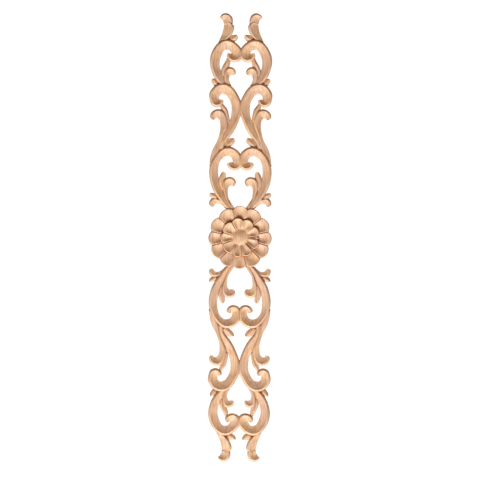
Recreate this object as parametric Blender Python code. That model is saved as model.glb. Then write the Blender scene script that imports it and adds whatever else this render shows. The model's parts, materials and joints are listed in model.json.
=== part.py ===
"""Carved wood applique: a long symmetric panel of C-scrolls and curling leaves around a petalled rosette.

Run with: blender --background --python part.py
The flat back lies on the plane y = 0 and faces +Y, the carving faces -Y, and the long axis is Z.
The origin is on the back, behind the middle of the rosette. The piece is one solid of carved beech.
"""

import math

import bmesh
import bpy
import numpy as np

MM = 0.001

# Driving dimensions, in millimetres.
SCROLL_HEIGHT = 13.4
STEM_HEIGHT = 12.9
CURL_HEIGHT = 12.5
SPEAR_HEIGHT = 11.6
EAR_HEIGHT = 11.7
TUCKED_HEIGHT = 12.0
BEVEL_WIDTH = 2.9
BEVEL_DROP = 2.7
FULL_COVE_WIDTH = 12.5
TUCKED_COVE = 0.4
COVE_MIDDLE = 0.4
COVE_MIDDLE_DEPTH = 0.62
SHORT_RISE = 22.0
MEDIUM_RISE = 35.0
LONG_RISE = 60.0
LEAST_RISE = 1.2
LONGEST_RISE = 0.5
TIP_LENGTH = 14.0
TIP_DROP = 0.8
LONGEST_TIP = 0.4
UPPER_GROWTH = 0.5
LOWER_GROWTH = 0.1
SINK_BEHIND = 2.0
PIVOT_RADIUS = 1.0

# Forms of a stroke's section: cove depth, width of the bevel and the largest share of the width it takes.
SCROLL_FORM = (4.0, 2.9, 0.4)
LEAF_FORM = (3.3, 2.9, 0.4)
SPEAR_FORM = (2.6, 2.9, 0.4)
EAR_FORM = (2.4, 4.2, 0.6)

# Mesh density: ring spacing in millimetres and radians, samples along a stroke, and angles in degrees.
RING_STEP = 12.0
RING_TURN = 1.0
LEAST_RINGS = 5
OUTER_WEIGHT = 0.7
SAMPLES = 400
FLAT_ANGLE = 0.5
SHARP_ANGLE = 35.0

# Rosette, in millimetres and degrees clockwise from straight up.
OUTER_NOTCHES = (14.7, 46.5, 78.0, 106.0, 135.8, 167.5, 193.5, 223.0, 254.0, 282.0, 313.5, 345.3)
OUTER_RADIUS = 42.5
OUTER_NOTCH_RADIUS = 39.0
OUTER_ROOT_RADIUS = 22.0
OUTER_RIM_HEIGHT = 13.5
OUTER_ROOT_HEIGHT = 9.7
OUTER_CREST = 1.2
INNER_NOTCHES = (10.0, 50.5, 87.0, 95.5, 131.5, 136.0, 173.5, 205.4, 250.4, 286.8, 332.0)
INNER_RADIUS = 26.5
INNER_NOTCH_RADIUS = 23.4
INNER_RIM_HEIGHT = 15.0
INNER_ROOT_HEIGHT = 11.2
INNER_CREST = 1.0
FULL_PETAL_SPAN = 30.0
PETAL_FLANK = 0.6
PETAL_RINGS = (0.0, 0.4, 0.75, 1.0)
PETAL_POWER = 2.8
PETAL_BEVEL_WIDTH = 1.1
PETAL_BEVEL_DROP = 2.2
ROOT_CREST = 0.8
NOTCH_DIP = 0.8
DOME_RADIUS = 11.6
DOME_TOP_HEIGHT = 14.3
DOME_DROP = 3.2
DOME_PLACE = (0.5, -0.3)
DOME_SIDES = 24
DOME_RINGS = (0.0, 0.6, 1.0)

BACK_BOX = (0.2, 0.02, 0.8)

OBJECT_NAME = "carved_applique"


def turn(centre, radius, pivot, start, stop, count):
    """Stations of a volute: the outer edge runs on an arc and the inner edge turns tightly at the pivot."""
    stations = []
    for angle in np.radians(np.linspace(start, stop, count)):
        aim = np.array((math.cos(angle), math.sin(angle)))
        stations.append((tuple(centre + radius * aim), tuple(pivot + PIVOT_RADIUS * aim)))
    return stations


# Each stroke of the carving is a band between two edges. A station pairs a point of the outer edge,
# which carries the raised ridge, with one of the inner edge, where the cove is lowest. Points are
# (across, up) in millimetres for the upper right quarter, from the tucked base to the free tip.

FINIAL_STEM = [
    ((22.0, 257.0), (31.0, 257.0)),
    ((19.0, 264.0), (28.5, 264.0)),
    ((13.6, 270.5), (25.9, 269.5)),
    ((10.6, 277.0), (23.5, 277.0)),
    ((9.8, 281.5), (22.6, 282.0)),
    ((11.4, 284.5), (21.6, 286.0)),
    ((14.9, 286.6), (17.8, 287.3)),
]
FINIAL_CURL = [
    ((13.5, 278.5), (20.5, 278.0)),
    ((12.0, 284.0), (21.7, 283.0)),
    ((11.5, 290.1), (23.1, 287.8)),
    ((14.1, 296.3), (23.9, 289.6)),
    ((20.0, 299.4), (24.6, 290.9)),
    ((24.9, 298.0), (25.5, 292.0)),
    ((27.3, 295.2), (26.6, 292.7)),
    ((28.0, 293.5), (27.5, 293.0)),
]
FINIAL_EAR = [
    ((14.0, 257.5), (20.0, 263.0)),
    ((10.0, 261.8), (15.5, 268.5)),
    ((6.5, 264.3), (11.0, 270.2)),
    ((4.6, 267.3), (7.5, 270.4)),
    ((4.2, 269.4), (5.2, 270.3)),
]
UPPER_SCROLL = [
    ((22.0, 200.0), (13.0, 203.0)),
    ((32.3, 210.0), (20.5, 214.0)),
    ((39.8, 226.0), (28.3, 226.5)),
    ((41.0, 238.1), (28.7, 237.0)),
    ((35.4, 253.3), (25.0, 247.3)),
    ((28.5, 261.0), (22.0, 251.0)),
    ((20.0, 264.3), (17.9, 251.8)),
    ((10.0, 261.7), (14.7, 251.0)),
    ((3.0, 256.0), (13.0, 248.6)),
    *turn((8.5, 245.3), 10.5, (12.7, 246.0), 160.0, 345.0, 7),
    ((17.0, 246.6), (15.0, 246.4)),
]
UPPER_SPEAR = [
    ((24.0, 212.0), (18.0, 214.0)),
    ((26.0, 222.0), (19.0, 221.0)),
    ((23.4, 229.9), (16.0, 228.9)),
    ((20.0, 235.8), (14.7, 234.3)),
    ((17.5, 242.0), (16.0, 241.0)),
]
UPPER_CURL = [
    ((20.0, 199.0), (11.0, 199.0)),
    ((21.0, 208.0), (15.5, 207.5)),
    ((22.3, 216.0), (16.4, 212.8)),
    ((21.5, 222.5), (15.6, 215.7)),
    ((18.0, 226.5), (14.5, 217.5)),
    ((13.0, 227.3), (12.6, 218.1)),
    ((9.1, 225.2), (11.1, 218.0)),
    ((7.2, 221.6), (10.0, 217.7)),
    ((7.5, 218.5), (8.9, 217.4)),
]
UPPER_EAR = [
    ((31.0, 198.0), (26.0, 205.0)),
    ((34.6, 202.1), (30.0, 208.5)),
    ((37.3, 205.6), (33.0, 211.5)),
    ((39.0, 209.5), (36.5, 212.0)),
    ((38.9, 211.6), (38.2, 212.0)),
]
MIDDLE_SCROLL = [
    ((19.0, 112.0), (34.0, 116.0)),
    ((21.7, 123.5), (31.0, 126.0)),
    ((14.5, 135.0), (24.5, 138.0)),
    ((7.5, 145.8), (19.0, 149.0)),
    ((2.5, 157.5), (13.7, 158.0)),
    ((-1.0, 169.0), (11.7, 168.0)),
    ((-0.7, 179.0), (12.0, 177.5)),
    ((4.0, 190.0), (15.5, 186.0)),
    ((11.0, 200.3), (19.7, 191.1)),
    ((19.0, 205.2), (23.8, 192.5)),
    ((25.5, 205.8), (26.0, 192.4)),
    ((33.0, 203.2), (27.9, 191.2)),
    ((39.0, 197.2), (29.3, 189.1)),
    ((41.8, 190.1), (29.6, 186.4)),
    *turn((32.1, 183.5), 8.7, (28.8, 184.8), -5.0, -170.0, 6),
    ((24.4, 184.0), (26.4, 184.3)),
]
MIDDLE_SPEAR = [
    ((15.5, 150.0), (21.0, 150.0)),
    ((15.3, 157.5), (20.5, 159.0)),
    ((16.5, 165.0), (23.0, 167.0)),
    ((18.7, 172.0), (26.0, 172.0)),
    ((23.0, 177.1), (26.8, 175.7)),
    ((25.5, 181.5), (26.6, 180.5)),
]
MIDDLE_CURL = [
    ((35.0, 94.0), (41.0, 95.0)),
    ((31.0, 109.0), (39.6, 108.0)),
    ((27.0, 119.0), (36.0, 119.0)),
    ((25.0, 128.0), (31.1, 128.0)),
    ((22.6, 138.0), (27.8, 138.5)),
    ((18.2, 148.0), (26.5, 148.0)),
    ((18.0, 157.5), (27.4, 156.0)),
    ((20.6, 165.5), (29.8, 159.3)),
    ((25.0, 170.0), (32.0, 160.1)),
    ((31.5, 171.0), (33.2, 160.2)),
    ((37.4, 168.1), (34.1, 159.9)),
    ((40.2, 163.3), (34.5, 159.3)),
    ((40.0, 159.6), (35.1, 158.3)),
    ((37.6, 157.5), (36.0, 157.2)),
]
MIDDLE_EAR = [
    ((17.0, 115.0), (26.0, 120.0)),
    ((14.0, 121.8), (20.5, 126.5)),
    ((10.5, 124.7), (16.0, 131.4)),
    ((8.1, 128.2), (11.6, 132.6)),
    ((7.2, 131.2), (8.3, 132.4)),
]
LOWER_SCROLL = [
    ((12.0, 33.0), (5.0, 35.0)),
    ((20.3, 40.6), (11.6, 44.9)),
    ((28.6, 51.8), (19.3, 57.1)),
    ((35.8, 63.2), (24.3, 67.0)),
    ((39.8, 74.9), (28.5, 76.5)),
    ((41.2, 88.0), (30.3, 88.0)),
    ((39.3, 98.0), (29.4, 96.9)),
    ((35.0, 107.5), (26.9, 103.5)),
    ((28.0, 116.0), (22.6, 107.9)),
    ((21.0, 120.3), (19.2, 109.3)),
    ((14.0, 120.8), (15.6, 109.2)),
    ((6.5, 118.0), (12.4, 107.7)),
    ((0.0, 110.5), (10.3, 104.2)),
    *turn((8.0, 99.6), 9.5, (10.7, 100.9), 170.0, 350.0, 7),
    ((16.0, 99.9), (14.2, 100.7)),
]
LOWER_SPEAR = [
    ((24.0, 60.0), (19.0, 62.0)),
    ((27.8, 70.0), (21.0, 70.0)),
    ((28.5, 77.0), (20.3, 77.5)),
    ((27.0, 82.2), (19.8, 82.0)),
    ((24.8, 86.2), (20.3, 85.8)),
    ((22.9, 88.0), (21.5, 87.7)),
]
LOWER_CURL = [
    ((11.0, 35.0), (5.0, 36.5)),
    ((15.5, 43.0), (10.0, 41.5)),
    ((19.0, 52.0), (14.9, 48.9)),
    ((21.5, 60.0), (16.9, 57.8)),
    ((23.6, 68.0), (17.0, 65.0)),
    ((22.6, 75.0), (15.0, 68.8)),
    ((18.5, 79.5), (12.5, 69.3)),
    ((12.5, 80.5), (11.0, 69.2)),
    ((8.2, 78.2), (10.0, 69.0)),
    ((6.2, 74.0), (9.4, 68.9)),
    ((7.0, 70.6), (8.7, 68.9)),
]
LOWER_BUD = [
    ((30.0, 46.0), (27.0, 54.0)),
    ((36.5, 52.0), (33.3, 58.6)),
    ((40.0, 54.7), (36.5, 59.0)),
    ((40.9, 57.5), (39.0, 59.3)),
    ((40.9, 59.0), (40.3, 59.4)),
]
LOWER_HOOK = [
    ((16.0, 44.0), (19.5, 39.0)),
    ((24.0, 50.5), (24.3, 43.5)),
    ((30.5, 52.4), (29.3, 46.0)),
    ((35.3, 53.0), (32.9, 45.4)),
    ((39.2, 50.6), (34.6, 44.1)),
    ((41.0, 46.5), (35.2, 43.0)),
    ((40.7, 43.3), (35.8, 41.9)),
    ((38.4, 41.5), (36.9, 41.1)),
]

# Name, stations, ridge height, form and length of the rise from the tucked base, for one quarter.
STROKES = (
    ("finial_stem", FINIAL_STEM, STEM_HEIGHT, LEAF_FORM, SHORT_RISE),
    ("finial_curl", FINIAL_CURL, CURL_HEIGHT, LEAF_FORM, SHORT_RISE),
    ("finial_ear", FINIAL_EAR, EAR_HEIGHT, EAR_FORM, SHORT_RISE),
    ("upper_scroll", UPPER_SCROLL, SCROLL_HEIGHT, SCROLL_FORM, SHORT_RISE),
    ("upper_spear", UPPER_SPEAR, SPEAR_HEIGHT, SPEAR_FORM, SHORT_RISE),
    ("upper_curl", UPPER_CURL, CURL_HEIGHT, LEAF_FORM, SHORT_RISE),
    ("upper_ear", UPPER_EAR, EAR_HEIGHT, EAR_FORM, SHORT_RISE),
    ("middle_scroll", MIDDLE_SCROLL, SCROLL_HEIGHT, SCROLL_FORM, LONG_RISE),
    ("middle_spear", MIDDLE_SPEAR, SPEAR_HEIGHT, SPEAR_FORM, SHORT_RISE),
    ("middle_curl", MIDDLE_CURL, CURL_HEIGHT, LEAF_FORM, LONG_RISE),
    ("middle_ear", MIDDLE_EAR, EAR_HEIGHT, EAR_FORM, SHORT_RISE),
    ("lower_scroll", LOWER_SCROLL, SCROLL_HEIGHT, SCROLL_FORM, MEDIUM_RISE),
    ("lower_spear", LOWER_SPEAR, SPEAR_HEIGHT, SPEAR_FORM, SHORT_RISE),
    ("lower_curl", LOWER_CURL, CURL_HEIGHT, LEAF_FORM, SHORT_RISE),
    ("lower_bud", LOWER_BUD, EAR_HEIGHT, EAR_FORM, SHORT_RISE),
    ("lower_hook", LOWER_HOOK, SPEAR_HEIGHT, SPEAR_FORM, SHORT_RISE),
)


def clear_scene():
    """Removes whatever the file holds at the start."""
    for obj in list(bpy.data.objects):
        bpy.data.objects.remove(obj, do_unlink=True)


def new_collection(name):
    """A collection of the scene."""
    collection = bpy.data.collections.new(name)
    bpy.context.scene.collection.children.link(collection)
    return collection


def natural_spline(knots, values, places):
    """Reads the natural cubic spline through the values at the knots."""
    gaps = np.diff(knots)
    count = len(knots)
    matrix = np.eye(count)
    right = np.zeros(values.shape)
    for k in range(1, count - 1):
        matrix[k, k - 1:k + 2] = (gaps[k - 1], 2.0 * (gaps[k - 1] + gaps[k]), gaps[k])
        slopes = (values[k + 1] - values[k]) / gaps[k] - (values[k] - values[k - 1]) / gaps[k - 1]
        right[k] = 6.0 * slopes
    bend = np.linalg.solve(matrix, right)
    piece = np.clip(np.searchsorted(knots, places) - 1, 0, count - 2)
    gap = gaps[piece][:, None]
    ahead = (knots[piece + 1] - places)[:, None]
    past = (places - knots[piece])[:, None]
    curved = bend[piece] * ahead ** 3 / (6.0 * gap) + bend[piece + 1] * past ** 3 / (6.0 * gap)
    left = (values[piece] / gap - bend[piece] * gap / 6.0) * ahead
    return curved + left + (values[piece + 1] / gap - bend[piece + 1] * gap / 6.0) * past


def edges(stations, step):
    """Outer and inner edge points of a stroke, closer together where it turns sharply."""
    points = np.array([[*outer, *inner] for outer, inner in stations])
    moves = np.diff(points, axis=0)
    outer_moves = np.hypot(moves[:, 0], moves[:, 1])
    inner_moves = np.hypot(moves[:, 2], moves[:, 3])
    lengths = OUTER_WEIGHT * outer_moves + (1.0 - OUTER_WEIGHT) * inner_moves
    knots = np.concatenate(([0.0], np.cumsum(lengths)))
    fine = np.linspace(0.0, knots[-1], SAMPLES)
    curve = natural_spline(knots, points, fine)
    heading = np.unwrap(np.arctan2(np.gradient(curve[:, 1]), np.gradient(curve[:, 0])))
    run = np.hypot(np.gradient(curve[:, 0]), np.gradient(curve[:, 1]))
    cost = np.cumsum(run / step + np.abs(np.gradient(heading)) / RING_TURN)
    count = max(LEAST_RINGS, int(round(cost[-1])) + 1)
    places = np.interp(np.linspace(cost[0], cost[-1], count), cost, fine)
    curve = natural_spline(knots, points, places)
    return curve[:, :2], curve[:, 2:]


def smooth_step(value):
    """Eases a fraction from 0 to 1."""
    value = min(1.0, max(0.0, value))
    return value * value * (3.0 - 2.0 * value)


def ridge_height(run, total, height, rise_length):
    """Ridge height along a stroke, tucked at its base and a little lower at its tip, and its cove's share."""
    base = min(TUCKED_HEIGHT, height - LEAST_RISE)
    rise = smooth_step(run / min(rise_length, LONGEST_RISE * total))
    fall = smooth_step(1.0 - (total - run) / min(TIP_LENGTH, LONGEST_TIP * total))
    return base + (height - base) * rise - TIP_DROP * fall, TUCKED_COVE + (1.0 - TUCKED_COVE) * rise


def section(width, height, form, hollow):
    """Cross-section of a stroke as (share of width, height), from the back of the outer edge round."""
    cove, shoulder, widest = form
    bevel = min(shoulder, widest * width)
    drop = BEVEL_DROP * min(1.0, bevel / BEVEL_WIDTH)
    depth = cove * hollow * min(1.0, width / FULL_COVE_WIDTH)
    middle = bevel + COVE_MIDDLE * (width - bevel)
    return (
        (0.0, -SINK_BEHIND),
        (0.0, height - drop),
        (bevel / width, height),
        (middle / width, height - COVE_MIDDLE_DEPTH * depth),
        (1.0, height - depth),
        (1.0, -SINK_BEHIND),
    )


def solid_object(name, form, collection):
    """An object of the closed form, shaded smooth but for its arrises."""
    bmesh.ops.triangulate(form, faces=form.faces[:])
    bmesh.ops.recalc_face_normals(form, faces=form.faces[:])
    mesh = bpy.data.meshes.new(name)
    form.to_mesh(mesh)
    form.free()
    mesh.shade_smooth()
    mesh.set_sharp_from_angle(angle=math.radians(SHARP_ANGLE))
    obj = bpy.data.objects.new(name, mesh)
    collection.objects.link(obj)
    return obj


def loft(name, rings, collection):
    """Closed body through rings of equal count, capped at both ends."""
    form = bmesh.new()
    rows = [[form.verts.new(point) for point in ring] for ring in rings]
    for low, high in zip(rows, rows[1:]):
        for k in range(len(low)):
            after = (k + 1) % len(low)
            form.faces.new((low[k], low[after], high[after], high[k]))
    form.faces.new(list(reversed(rows[0])))
    form.faces.new(rows[-1])
    return solid_object(name, form, collection)


def stroke(name, stations, height, form, rise_length, mirror, collection):
    """One stroke of the carving, mirrored into its quarter of the panel."""
    outer, inner = edges(stations, RING_STEP)
    steps = np.hypot(*np.diff(outer, axis=0).T)
    runs = np.concatenate(([0.0], np.cumsum(steps)))
    rings = []
    for start, end, run in zip(outer, inner, runs):
        growth = (UPPER_GROWTH if mirror[1] > 0 else LOWER_GROWTH) * (end - start) / np.hypot(*(end - start))
        start, end = start - growth, end + growth
        width = float(np.hypot(*(end - start)))
        ridge, hollow = ridge_height(run, runs[-1], height, rise_length)
        ring = []
        for share, level in section(width, ridge, form, hollow):
            across, up = start + (end - start) * share
            ring.append((across * mirror[0] * MM, -level * MM, up * mirror[1] * MM))
        rings.append(ring)
    return loft(name, rings, collection)


def petal_rays(notches):
    """Rays of a ring of petals as (angle, place, fullness): place runs from -1 to 1 across each petal."""
    rays = []
    for k, start in enumerate(notches):
        span = (notches[(k + 1) % len(notches)] - start) % 360.0
        fullness = min(1.0, span / FULL_PETAL_SPAN)
        for place in (-1.0, -PETAL_FLANK, 0.0, PETAL_FLANK):
            rays.append((math.radians(start + span * (place + 1.0) / 2.0), place, fullness))
    return rays


def petal_level(place, share, heights, crest):
    """Height of a cupped petal: high along its two sides, hollow along its middle, rising to the rim."""
    rim, root = heights
    middle = root + (rim - root) * share ** PETAL_POWER
    side = root + ROOT_CREST * (1.0 - share) + (rim - NOTCH_DIP - root) * share
    side += crest * math.sin(math.pi * share ** 0.8)
    return middle + (side - middle) * place * place


def petal_ring(name, notches, radii, heights, crest, collection):
    """A disc of cupped petals: radii are (lobe, notch, root) and heights are (rim, root)."""
    lobe, notch, root = radii
    rays = []
    for angle, place, fullness in petal_rays(notches):
        reach = notch + (lobe - notch) * (1.0 - place * place) * fullness
        levels = [(0.0, heights[1])]
        for share in PETAL_RINGS:
            level = petal_level(place, share, heights, crest * fullness)
            levels.append((root + (reach - PETAL_BEVEL_WIDTH - root) * share, level))
        levels.append((reach, levels[-1][1] - PETAL_BEVEL_DROP))
        rays.append([(r * math.sin(angle), level, r * math.cos(angle)) for r, level in levels])
    return disc(name, rays, collection)


def disc(name, rays, collection):
    """Closed body from rays of (x, height, z) that share their first point at the middle."""
    form = bmesh.new()
    middle_x, middle_level, middle_z = rays[0][0]
    centre = form.verts.new((middle_x * MM, -middle_level * MM, middle_z * MM))
    rows = []
    for ray in rays:
        row = [form.verts.new((x * MM, -level * MM, z * MM)) for x, level, z in ray[1:]]
        rim_x, rim_level, rim_z = ray[-1]
        row.append(form.verts.new((rim_x * MM, SINK_BEHIND * MM, rim_z * MM)))
        rows.append(row)
    for low, high in zip(rows, rows[1:] + rows[:1]):
        form.faces.new((centre, low[0], high[0]))
        for k in range(len(low) - 1):
            form.faces.new((low[k], low[k + 1], high[k + 1], high[k]))
    form.faces.new([row[-1] for row in rows])
    return solid_object(name, form, collection)


def outer_petals(collection):
    """The outer ring of petals, which the rest of the carving joins."""
    radii = (OUTER_RADIUS, OUTER_NOTCH_RADIUS, OUTER_ROOT_RADIUS)
    heights = (OUTER_RIM_HEIGHT, OUTER_ROOT_HEIGHT)
    return petal_ring(OBJECT_NAME, OUTER_NOTCHES, radii, heights, OUTER_CREST, collection)


def inner_petals(collection):
    """The inner ring of uneven petals, which stands above the outer ring."""
    radii = (INNER_RADIUS, INNER_NOTCH_RADIUS, DOME_RADIUS)
    heights = (INNER_RIM_HEIGHT, INNER_ROOT_HEIGHT)
    petal_ring("inner_petals", INNER_NOTCHES, radii, heights, INNER_CREST, collection)


def dome(collection):
    """The dome in the middle of the rosette."""
    rays = []
    for angle in np.linspace(0.0, 2.0 * math.pi, DOME_SIDES, endpoint=False):
        ray = []
        for share in DOME_RINGS:
            x = DOME_PLACE[0] + DOME_RADIUS * share * math.sin(angle)
            z = DOME_PLACE[1] + DOME_RADIUS * share * math.cos(angle)
            ray.append((x, DOME_TOP_HEIGHT - DOME_DROP * share * share, z))
        rays.append(ray)
    disc("rosette_dome", rays, collection)


def wood():
    """Pale sanded beech."""
    material = bpy.data.materials.new("wood")
    material.use_nodes = True
    shader = material.node_tree.nodes["Principled BSDF"]
    shader.inputs["Base Color"].default_value = (0.72, 0.45, 0.27, 1.0)
    shader.inputs["Roughness"].default_value = 0.55
    shader.inputs["Metallic"].default_value = 0.0
    return material


def combine(base, operation, collection):
    """Joins every object of the collection to the base, or cuts them from it."""
    modifier = base.modifiers.new(operation.lower(), "BOOLEAN")
    modifier.operation = operation
    modifier.solver = "EXACT"
    modifier.operand_type = "COLLECTION"
    modifier.collection = collection


def merge_flats(obj):
    """Merges coplanar faces, so that the back and the plain walls stay simple."""
    modifier = obj.modifiers.new("merge_flats", "DECIMATE")
    modifier.decimate_type = "DISSOLVE"
    modifier.angle_limit = math.radians(FLAT_ANGLE)


def back_cutter(collection):
    """A box that cuts the back flat at y = 0."""
    bpy.ops.mesh.primitive_cube_add(size=1.0, location=(0.0, BACK_BOX[1] / 2.0, 0.0))
    box = bpy.context.object
    box.name = "behind_the_back"
    box.dimensions = BACK_BOX
    for owner in box.users_collection:
        owner.objects.unlink(box)
    collection.objects.link(box)


def build():
    """Makes the applique as one solid."""
    clear_scene()
    parts = new_collection("carved wood applique")
    strokes = new_collection("strokes")
    cutters = new_collection("cutters")

    applique = outer_petals(parts)
    inner_petals(strokes)
    dome(strokes)
    for up in (1, -1):
        for across in (1, -1):
            for name, stations, height, form, rise_length in STROKES:
                stroke(name, stations, height, form, rise_length, (across, up), strokes)

    back_cutter(cutters)
    for helper in [*strokes.objects, *cutters.objects]:
        helper.hide_render = True
        helper.display_type = "WIRE"

    combine(applique, "UNION", strokes)
    combine(applique, "DIFFERENCE", cutters)
    merge_flats(applique)
    applique.data.materials.append(wood())


build()
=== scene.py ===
"""Looks of the carved wood applique: the finely carved mesh over the solid, its wood, light and camera."""

import json
import math

import bmesh
import bpy
import numpy as np
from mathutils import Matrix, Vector, noise
from mathutils.bvhtree import BVHTree

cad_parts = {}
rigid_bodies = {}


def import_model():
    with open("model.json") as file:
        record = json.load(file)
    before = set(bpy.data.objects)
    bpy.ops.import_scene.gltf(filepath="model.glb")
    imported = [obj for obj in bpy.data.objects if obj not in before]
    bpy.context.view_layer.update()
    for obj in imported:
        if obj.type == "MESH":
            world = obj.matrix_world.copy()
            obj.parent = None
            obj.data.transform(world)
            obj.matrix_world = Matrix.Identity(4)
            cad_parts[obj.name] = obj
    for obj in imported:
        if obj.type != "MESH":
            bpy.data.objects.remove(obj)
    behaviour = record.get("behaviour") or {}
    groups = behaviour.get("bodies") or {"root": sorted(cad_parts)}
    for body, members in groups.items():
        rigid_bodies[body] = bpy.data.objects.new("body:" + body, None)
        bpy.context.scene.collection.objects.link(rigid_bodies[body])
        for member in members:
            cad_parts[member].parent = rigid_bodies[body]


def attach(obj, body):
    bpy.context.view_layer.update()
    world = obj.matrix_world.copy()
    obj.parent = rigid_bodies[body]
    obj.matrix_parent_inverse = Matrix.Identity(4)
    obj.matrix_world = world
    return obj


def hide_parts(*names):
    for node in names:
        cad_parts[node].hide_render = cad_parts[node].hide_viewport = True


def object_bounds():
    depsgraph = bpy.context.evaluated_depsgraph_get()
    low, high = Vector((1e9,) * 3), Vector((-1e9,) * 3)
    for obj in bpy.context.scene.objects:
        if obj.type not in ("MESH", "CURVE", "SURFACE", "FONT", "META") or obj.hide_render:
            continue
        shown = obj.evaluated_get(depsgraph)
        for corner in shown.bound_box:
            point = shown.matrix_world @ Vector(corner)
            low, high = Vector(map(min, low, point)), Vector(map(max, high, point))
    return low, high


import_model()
cad_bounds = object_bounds()

MM = 0.001
NODE = "carved_applique"

# Camera, in metres and radians.
CAMERA_DISTANCE = 5.0
SENSOR_WIDTH = 36.0
FRAME_WIDTH = 0.6423
AIM_HEIGHT = -0.0032
CAMERA_ROLL = -0.0055

# Studio, in metres and watts: two lights that face the panel's middle, the surroundings and the floor.
LIGHT_TARGET = (0.0, 0.0, 0.0)
KEY_PLACE = (-0.5, -2.9, -3.5)
KEY_SIZE = 2.4
KEY_POWER = 280.0
BEHIND_PLACE = (0.9, 2.6, 2.4)
BEHIND_POWER = 140.0
KEY_COLOUR = (1.0, 1.0, 0.99)
FILL_COLOUR = (1.0, 0.60, 0.32)
FILL_STRENGTH = 0.225
SURROUNDINGS_STRENGTH = 1.05
FLOOR_SIZE = 1.2
FLOOR_PLACE = (0.0, -0.1, -0.36)
FLOOR_COLOUR = (0.93, 0.93, 0.92, 1.0)

# Strokes, in millimetres.
SCROLL_HEIGHT = 13.4
STEM_HEIGHT = 12.9
CURL_HEIGHT = 12.5
SPEAR_HEIGHT = 11.6
EAR_HEIGHT = 11.7
TUCKED_HEIGHT = 12.0
BEVEL_WIDTH = 2.9
BEVEL_DROP = 2.7
FULL_COVE_WIDTH = 12.5
TUCKED_COVE = 0.4
COVE_BEND = 0.35
SHORT_RISE = 22.0
MEDIUM_RISE = 35.0
LONG_RISE = 60.0
LEAST_RISE = 1.2
LONGEST_RISE = 0.5
BASE_DIP = 3.0
DIP_LENGTH = 5.0
TIP_LENGTH = 14.0
TIP_DROP = 0.8
LONGEST_TIP = 0.4
UPPER_GROWTH = 0.5
LOWER_GROWTH = 0.1
SINK_BEHIND = 2.0
PIVOT_RADIUS = 1.0

# Forms of a stroke's section: cove depth, width of the bevel and the largest share of the width it takes.
SCROLL_FORM = (4.2, 2.9, 0.4)
LEAF_FORM = (3.3, 2.9, 0.4)
SPEAR_FORM = (2.6, 2.9, 0.4)
EAR_FORM = (2.4, 4.2, 0.6)

# Fine form of a section: the bevel as (share of its width, share of its drop), and the cove's places.
BEVEL_CURVE = ((0.0, 1.0), (0.1, 0.74), (0.35, 0.42), (0.65, 0.17), (0.88, 0.04))
COVE_PLACES = (0.045, 0.12, 0.24, 0.38, 0.52, 0.66, 0.8, 0.92)
ARRIS_DROP = 0.12
LIP_WIDTH = 0.4
WIDEST_LIP = 0.1
LIP_DROP = 0.45
LIP_BEND = (0.3, 0.35)

# Unevenness left by the gouge, in millimetres: height, sideways, and the length of one wave.
HEIGHT_WAVE = 0.16
EDGE_WAVE = 0.12
WAVE_LENGTH = 9.0
WAVE_SPREAD = (7.31, 0.37)

# Mesh density: ring spacing in millimetres and radians, and samples along a stroke.
RING_STEP = 1.6
RING_TURN = 0.13
LEAST_RINGS = 12
OUTER_WEIGHT = 0.7
SAMPLES = 900
SHARP_ANGLE = 32.0

# Rosette, in millimetres and degrees clockwise from straight up. Grooves are shares of the full depth:
# some petals run softly into the next one.
OUTER_NOTCHES = (14.7, 46.5, 78.0, 106.0, 135.8, 167.5, 193.5, 223.0, 254.0, 282.0, 313.5, 345.3)
OUTER_GROOVES = (0.15, 0.9, 1.0, 1.0, 1.2, 0.9, 0.15, 1.1, 1.0, 1.0, 0.8, 0.7)
OUTER_RADIUS = 42.5
OUTER_NOTCH_RADIUS = 39.0
OUTER_ROOT_RADIUS = 22.0
OUTER_RIM_HEIGHT = 13.5
OUTER_ROOT_HEIGHT = 9.7
OUTER_CREST = 1.2
INNER_NOTCHES = (10.0, 50.5, 87.0, 95.5, 131.5, 136.0, 173.5, 205.4, 250.4, 286.8, 332.0)
INNER_GROOVES = (0.15, 0.9, 1.0, 1.0, 1.1, 1.1, 1.0, 0.4, 1.0, 1.0, 1.0)
INNER_RADIUS = 26.5
INNER_NOTCH_RADIUS = 23.4
INNER_RIM_HEIGHT = 15.0
INNER_ROOT_HEIGHT = 11.2
INNER_CREST = 1.0
FULL_PETAL_SPAN = 30.0
PETAL_POWER = 2.8
ROOT_CREST = 0.8
PETAL_BEVEL_WIDTH = 1.1
PETAL_BEVEL_DROP = 2.2
NOTCH_DIP = 0.8
GROOVE_DEPTH = 1.0
GROOVE_START = 4.0
CREST_POWER = 0.8
PETAL_UNEVENNESS = 0.25
PETAL_SPREAD = (1.7, 0.5)
DOME_RADIUS = 11.6
DOME_TOP_HEIGHT = 14.3
DOME_DROP = 3.2
DOME_PLACE = (0.5, -0.3)
FLUTE_DEPTH = 0.34
FLUTE_COUNT = 22
FLUTE_SHARE = 0.6
FLUTE_LEAN = 0.4
PETAL_RINGS = 22
DOME_SIDES = 132
DOME_RINGS = 14

# Columns of a petal from its side to its middle: steps in millimetres across the groove and the flat rim
# with their shares of the groove's depth, then steps across the hollow as shares of it.
SIDE_STEPS = (0.0, 0.35, 0.75, 1.0, 1.3)
SIDE_DROPS = (1.0, 0.52, 0.08, 0.0, 0.02)
WIDEST_SIDE = 0.42
HOLLOW_STEPS = (0.1, 0.22, 0.36, 0.52, 0.7, 0.86, 1.0)

# Box that cuts the back flat, in metres.
BACK_BOX = (0.2, 0.02, 0.8)

# Notes for the painted shade and highlight: rays from each vertex, how far they reach and start from the wood
# in metres, and their least slant.
RECESS_RAYS = 26
RECESS_REACH = 0.009
RAY_LIFT = 0.00015
LEAST_SLANT = 0.15
LEAST_FACING = -0.2
BACK_FACING = 0.9
GOLDEN_ANGLE = math.pi * (3.0 - math.sqrt(5.0))
TINY = 1e-9

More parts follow.
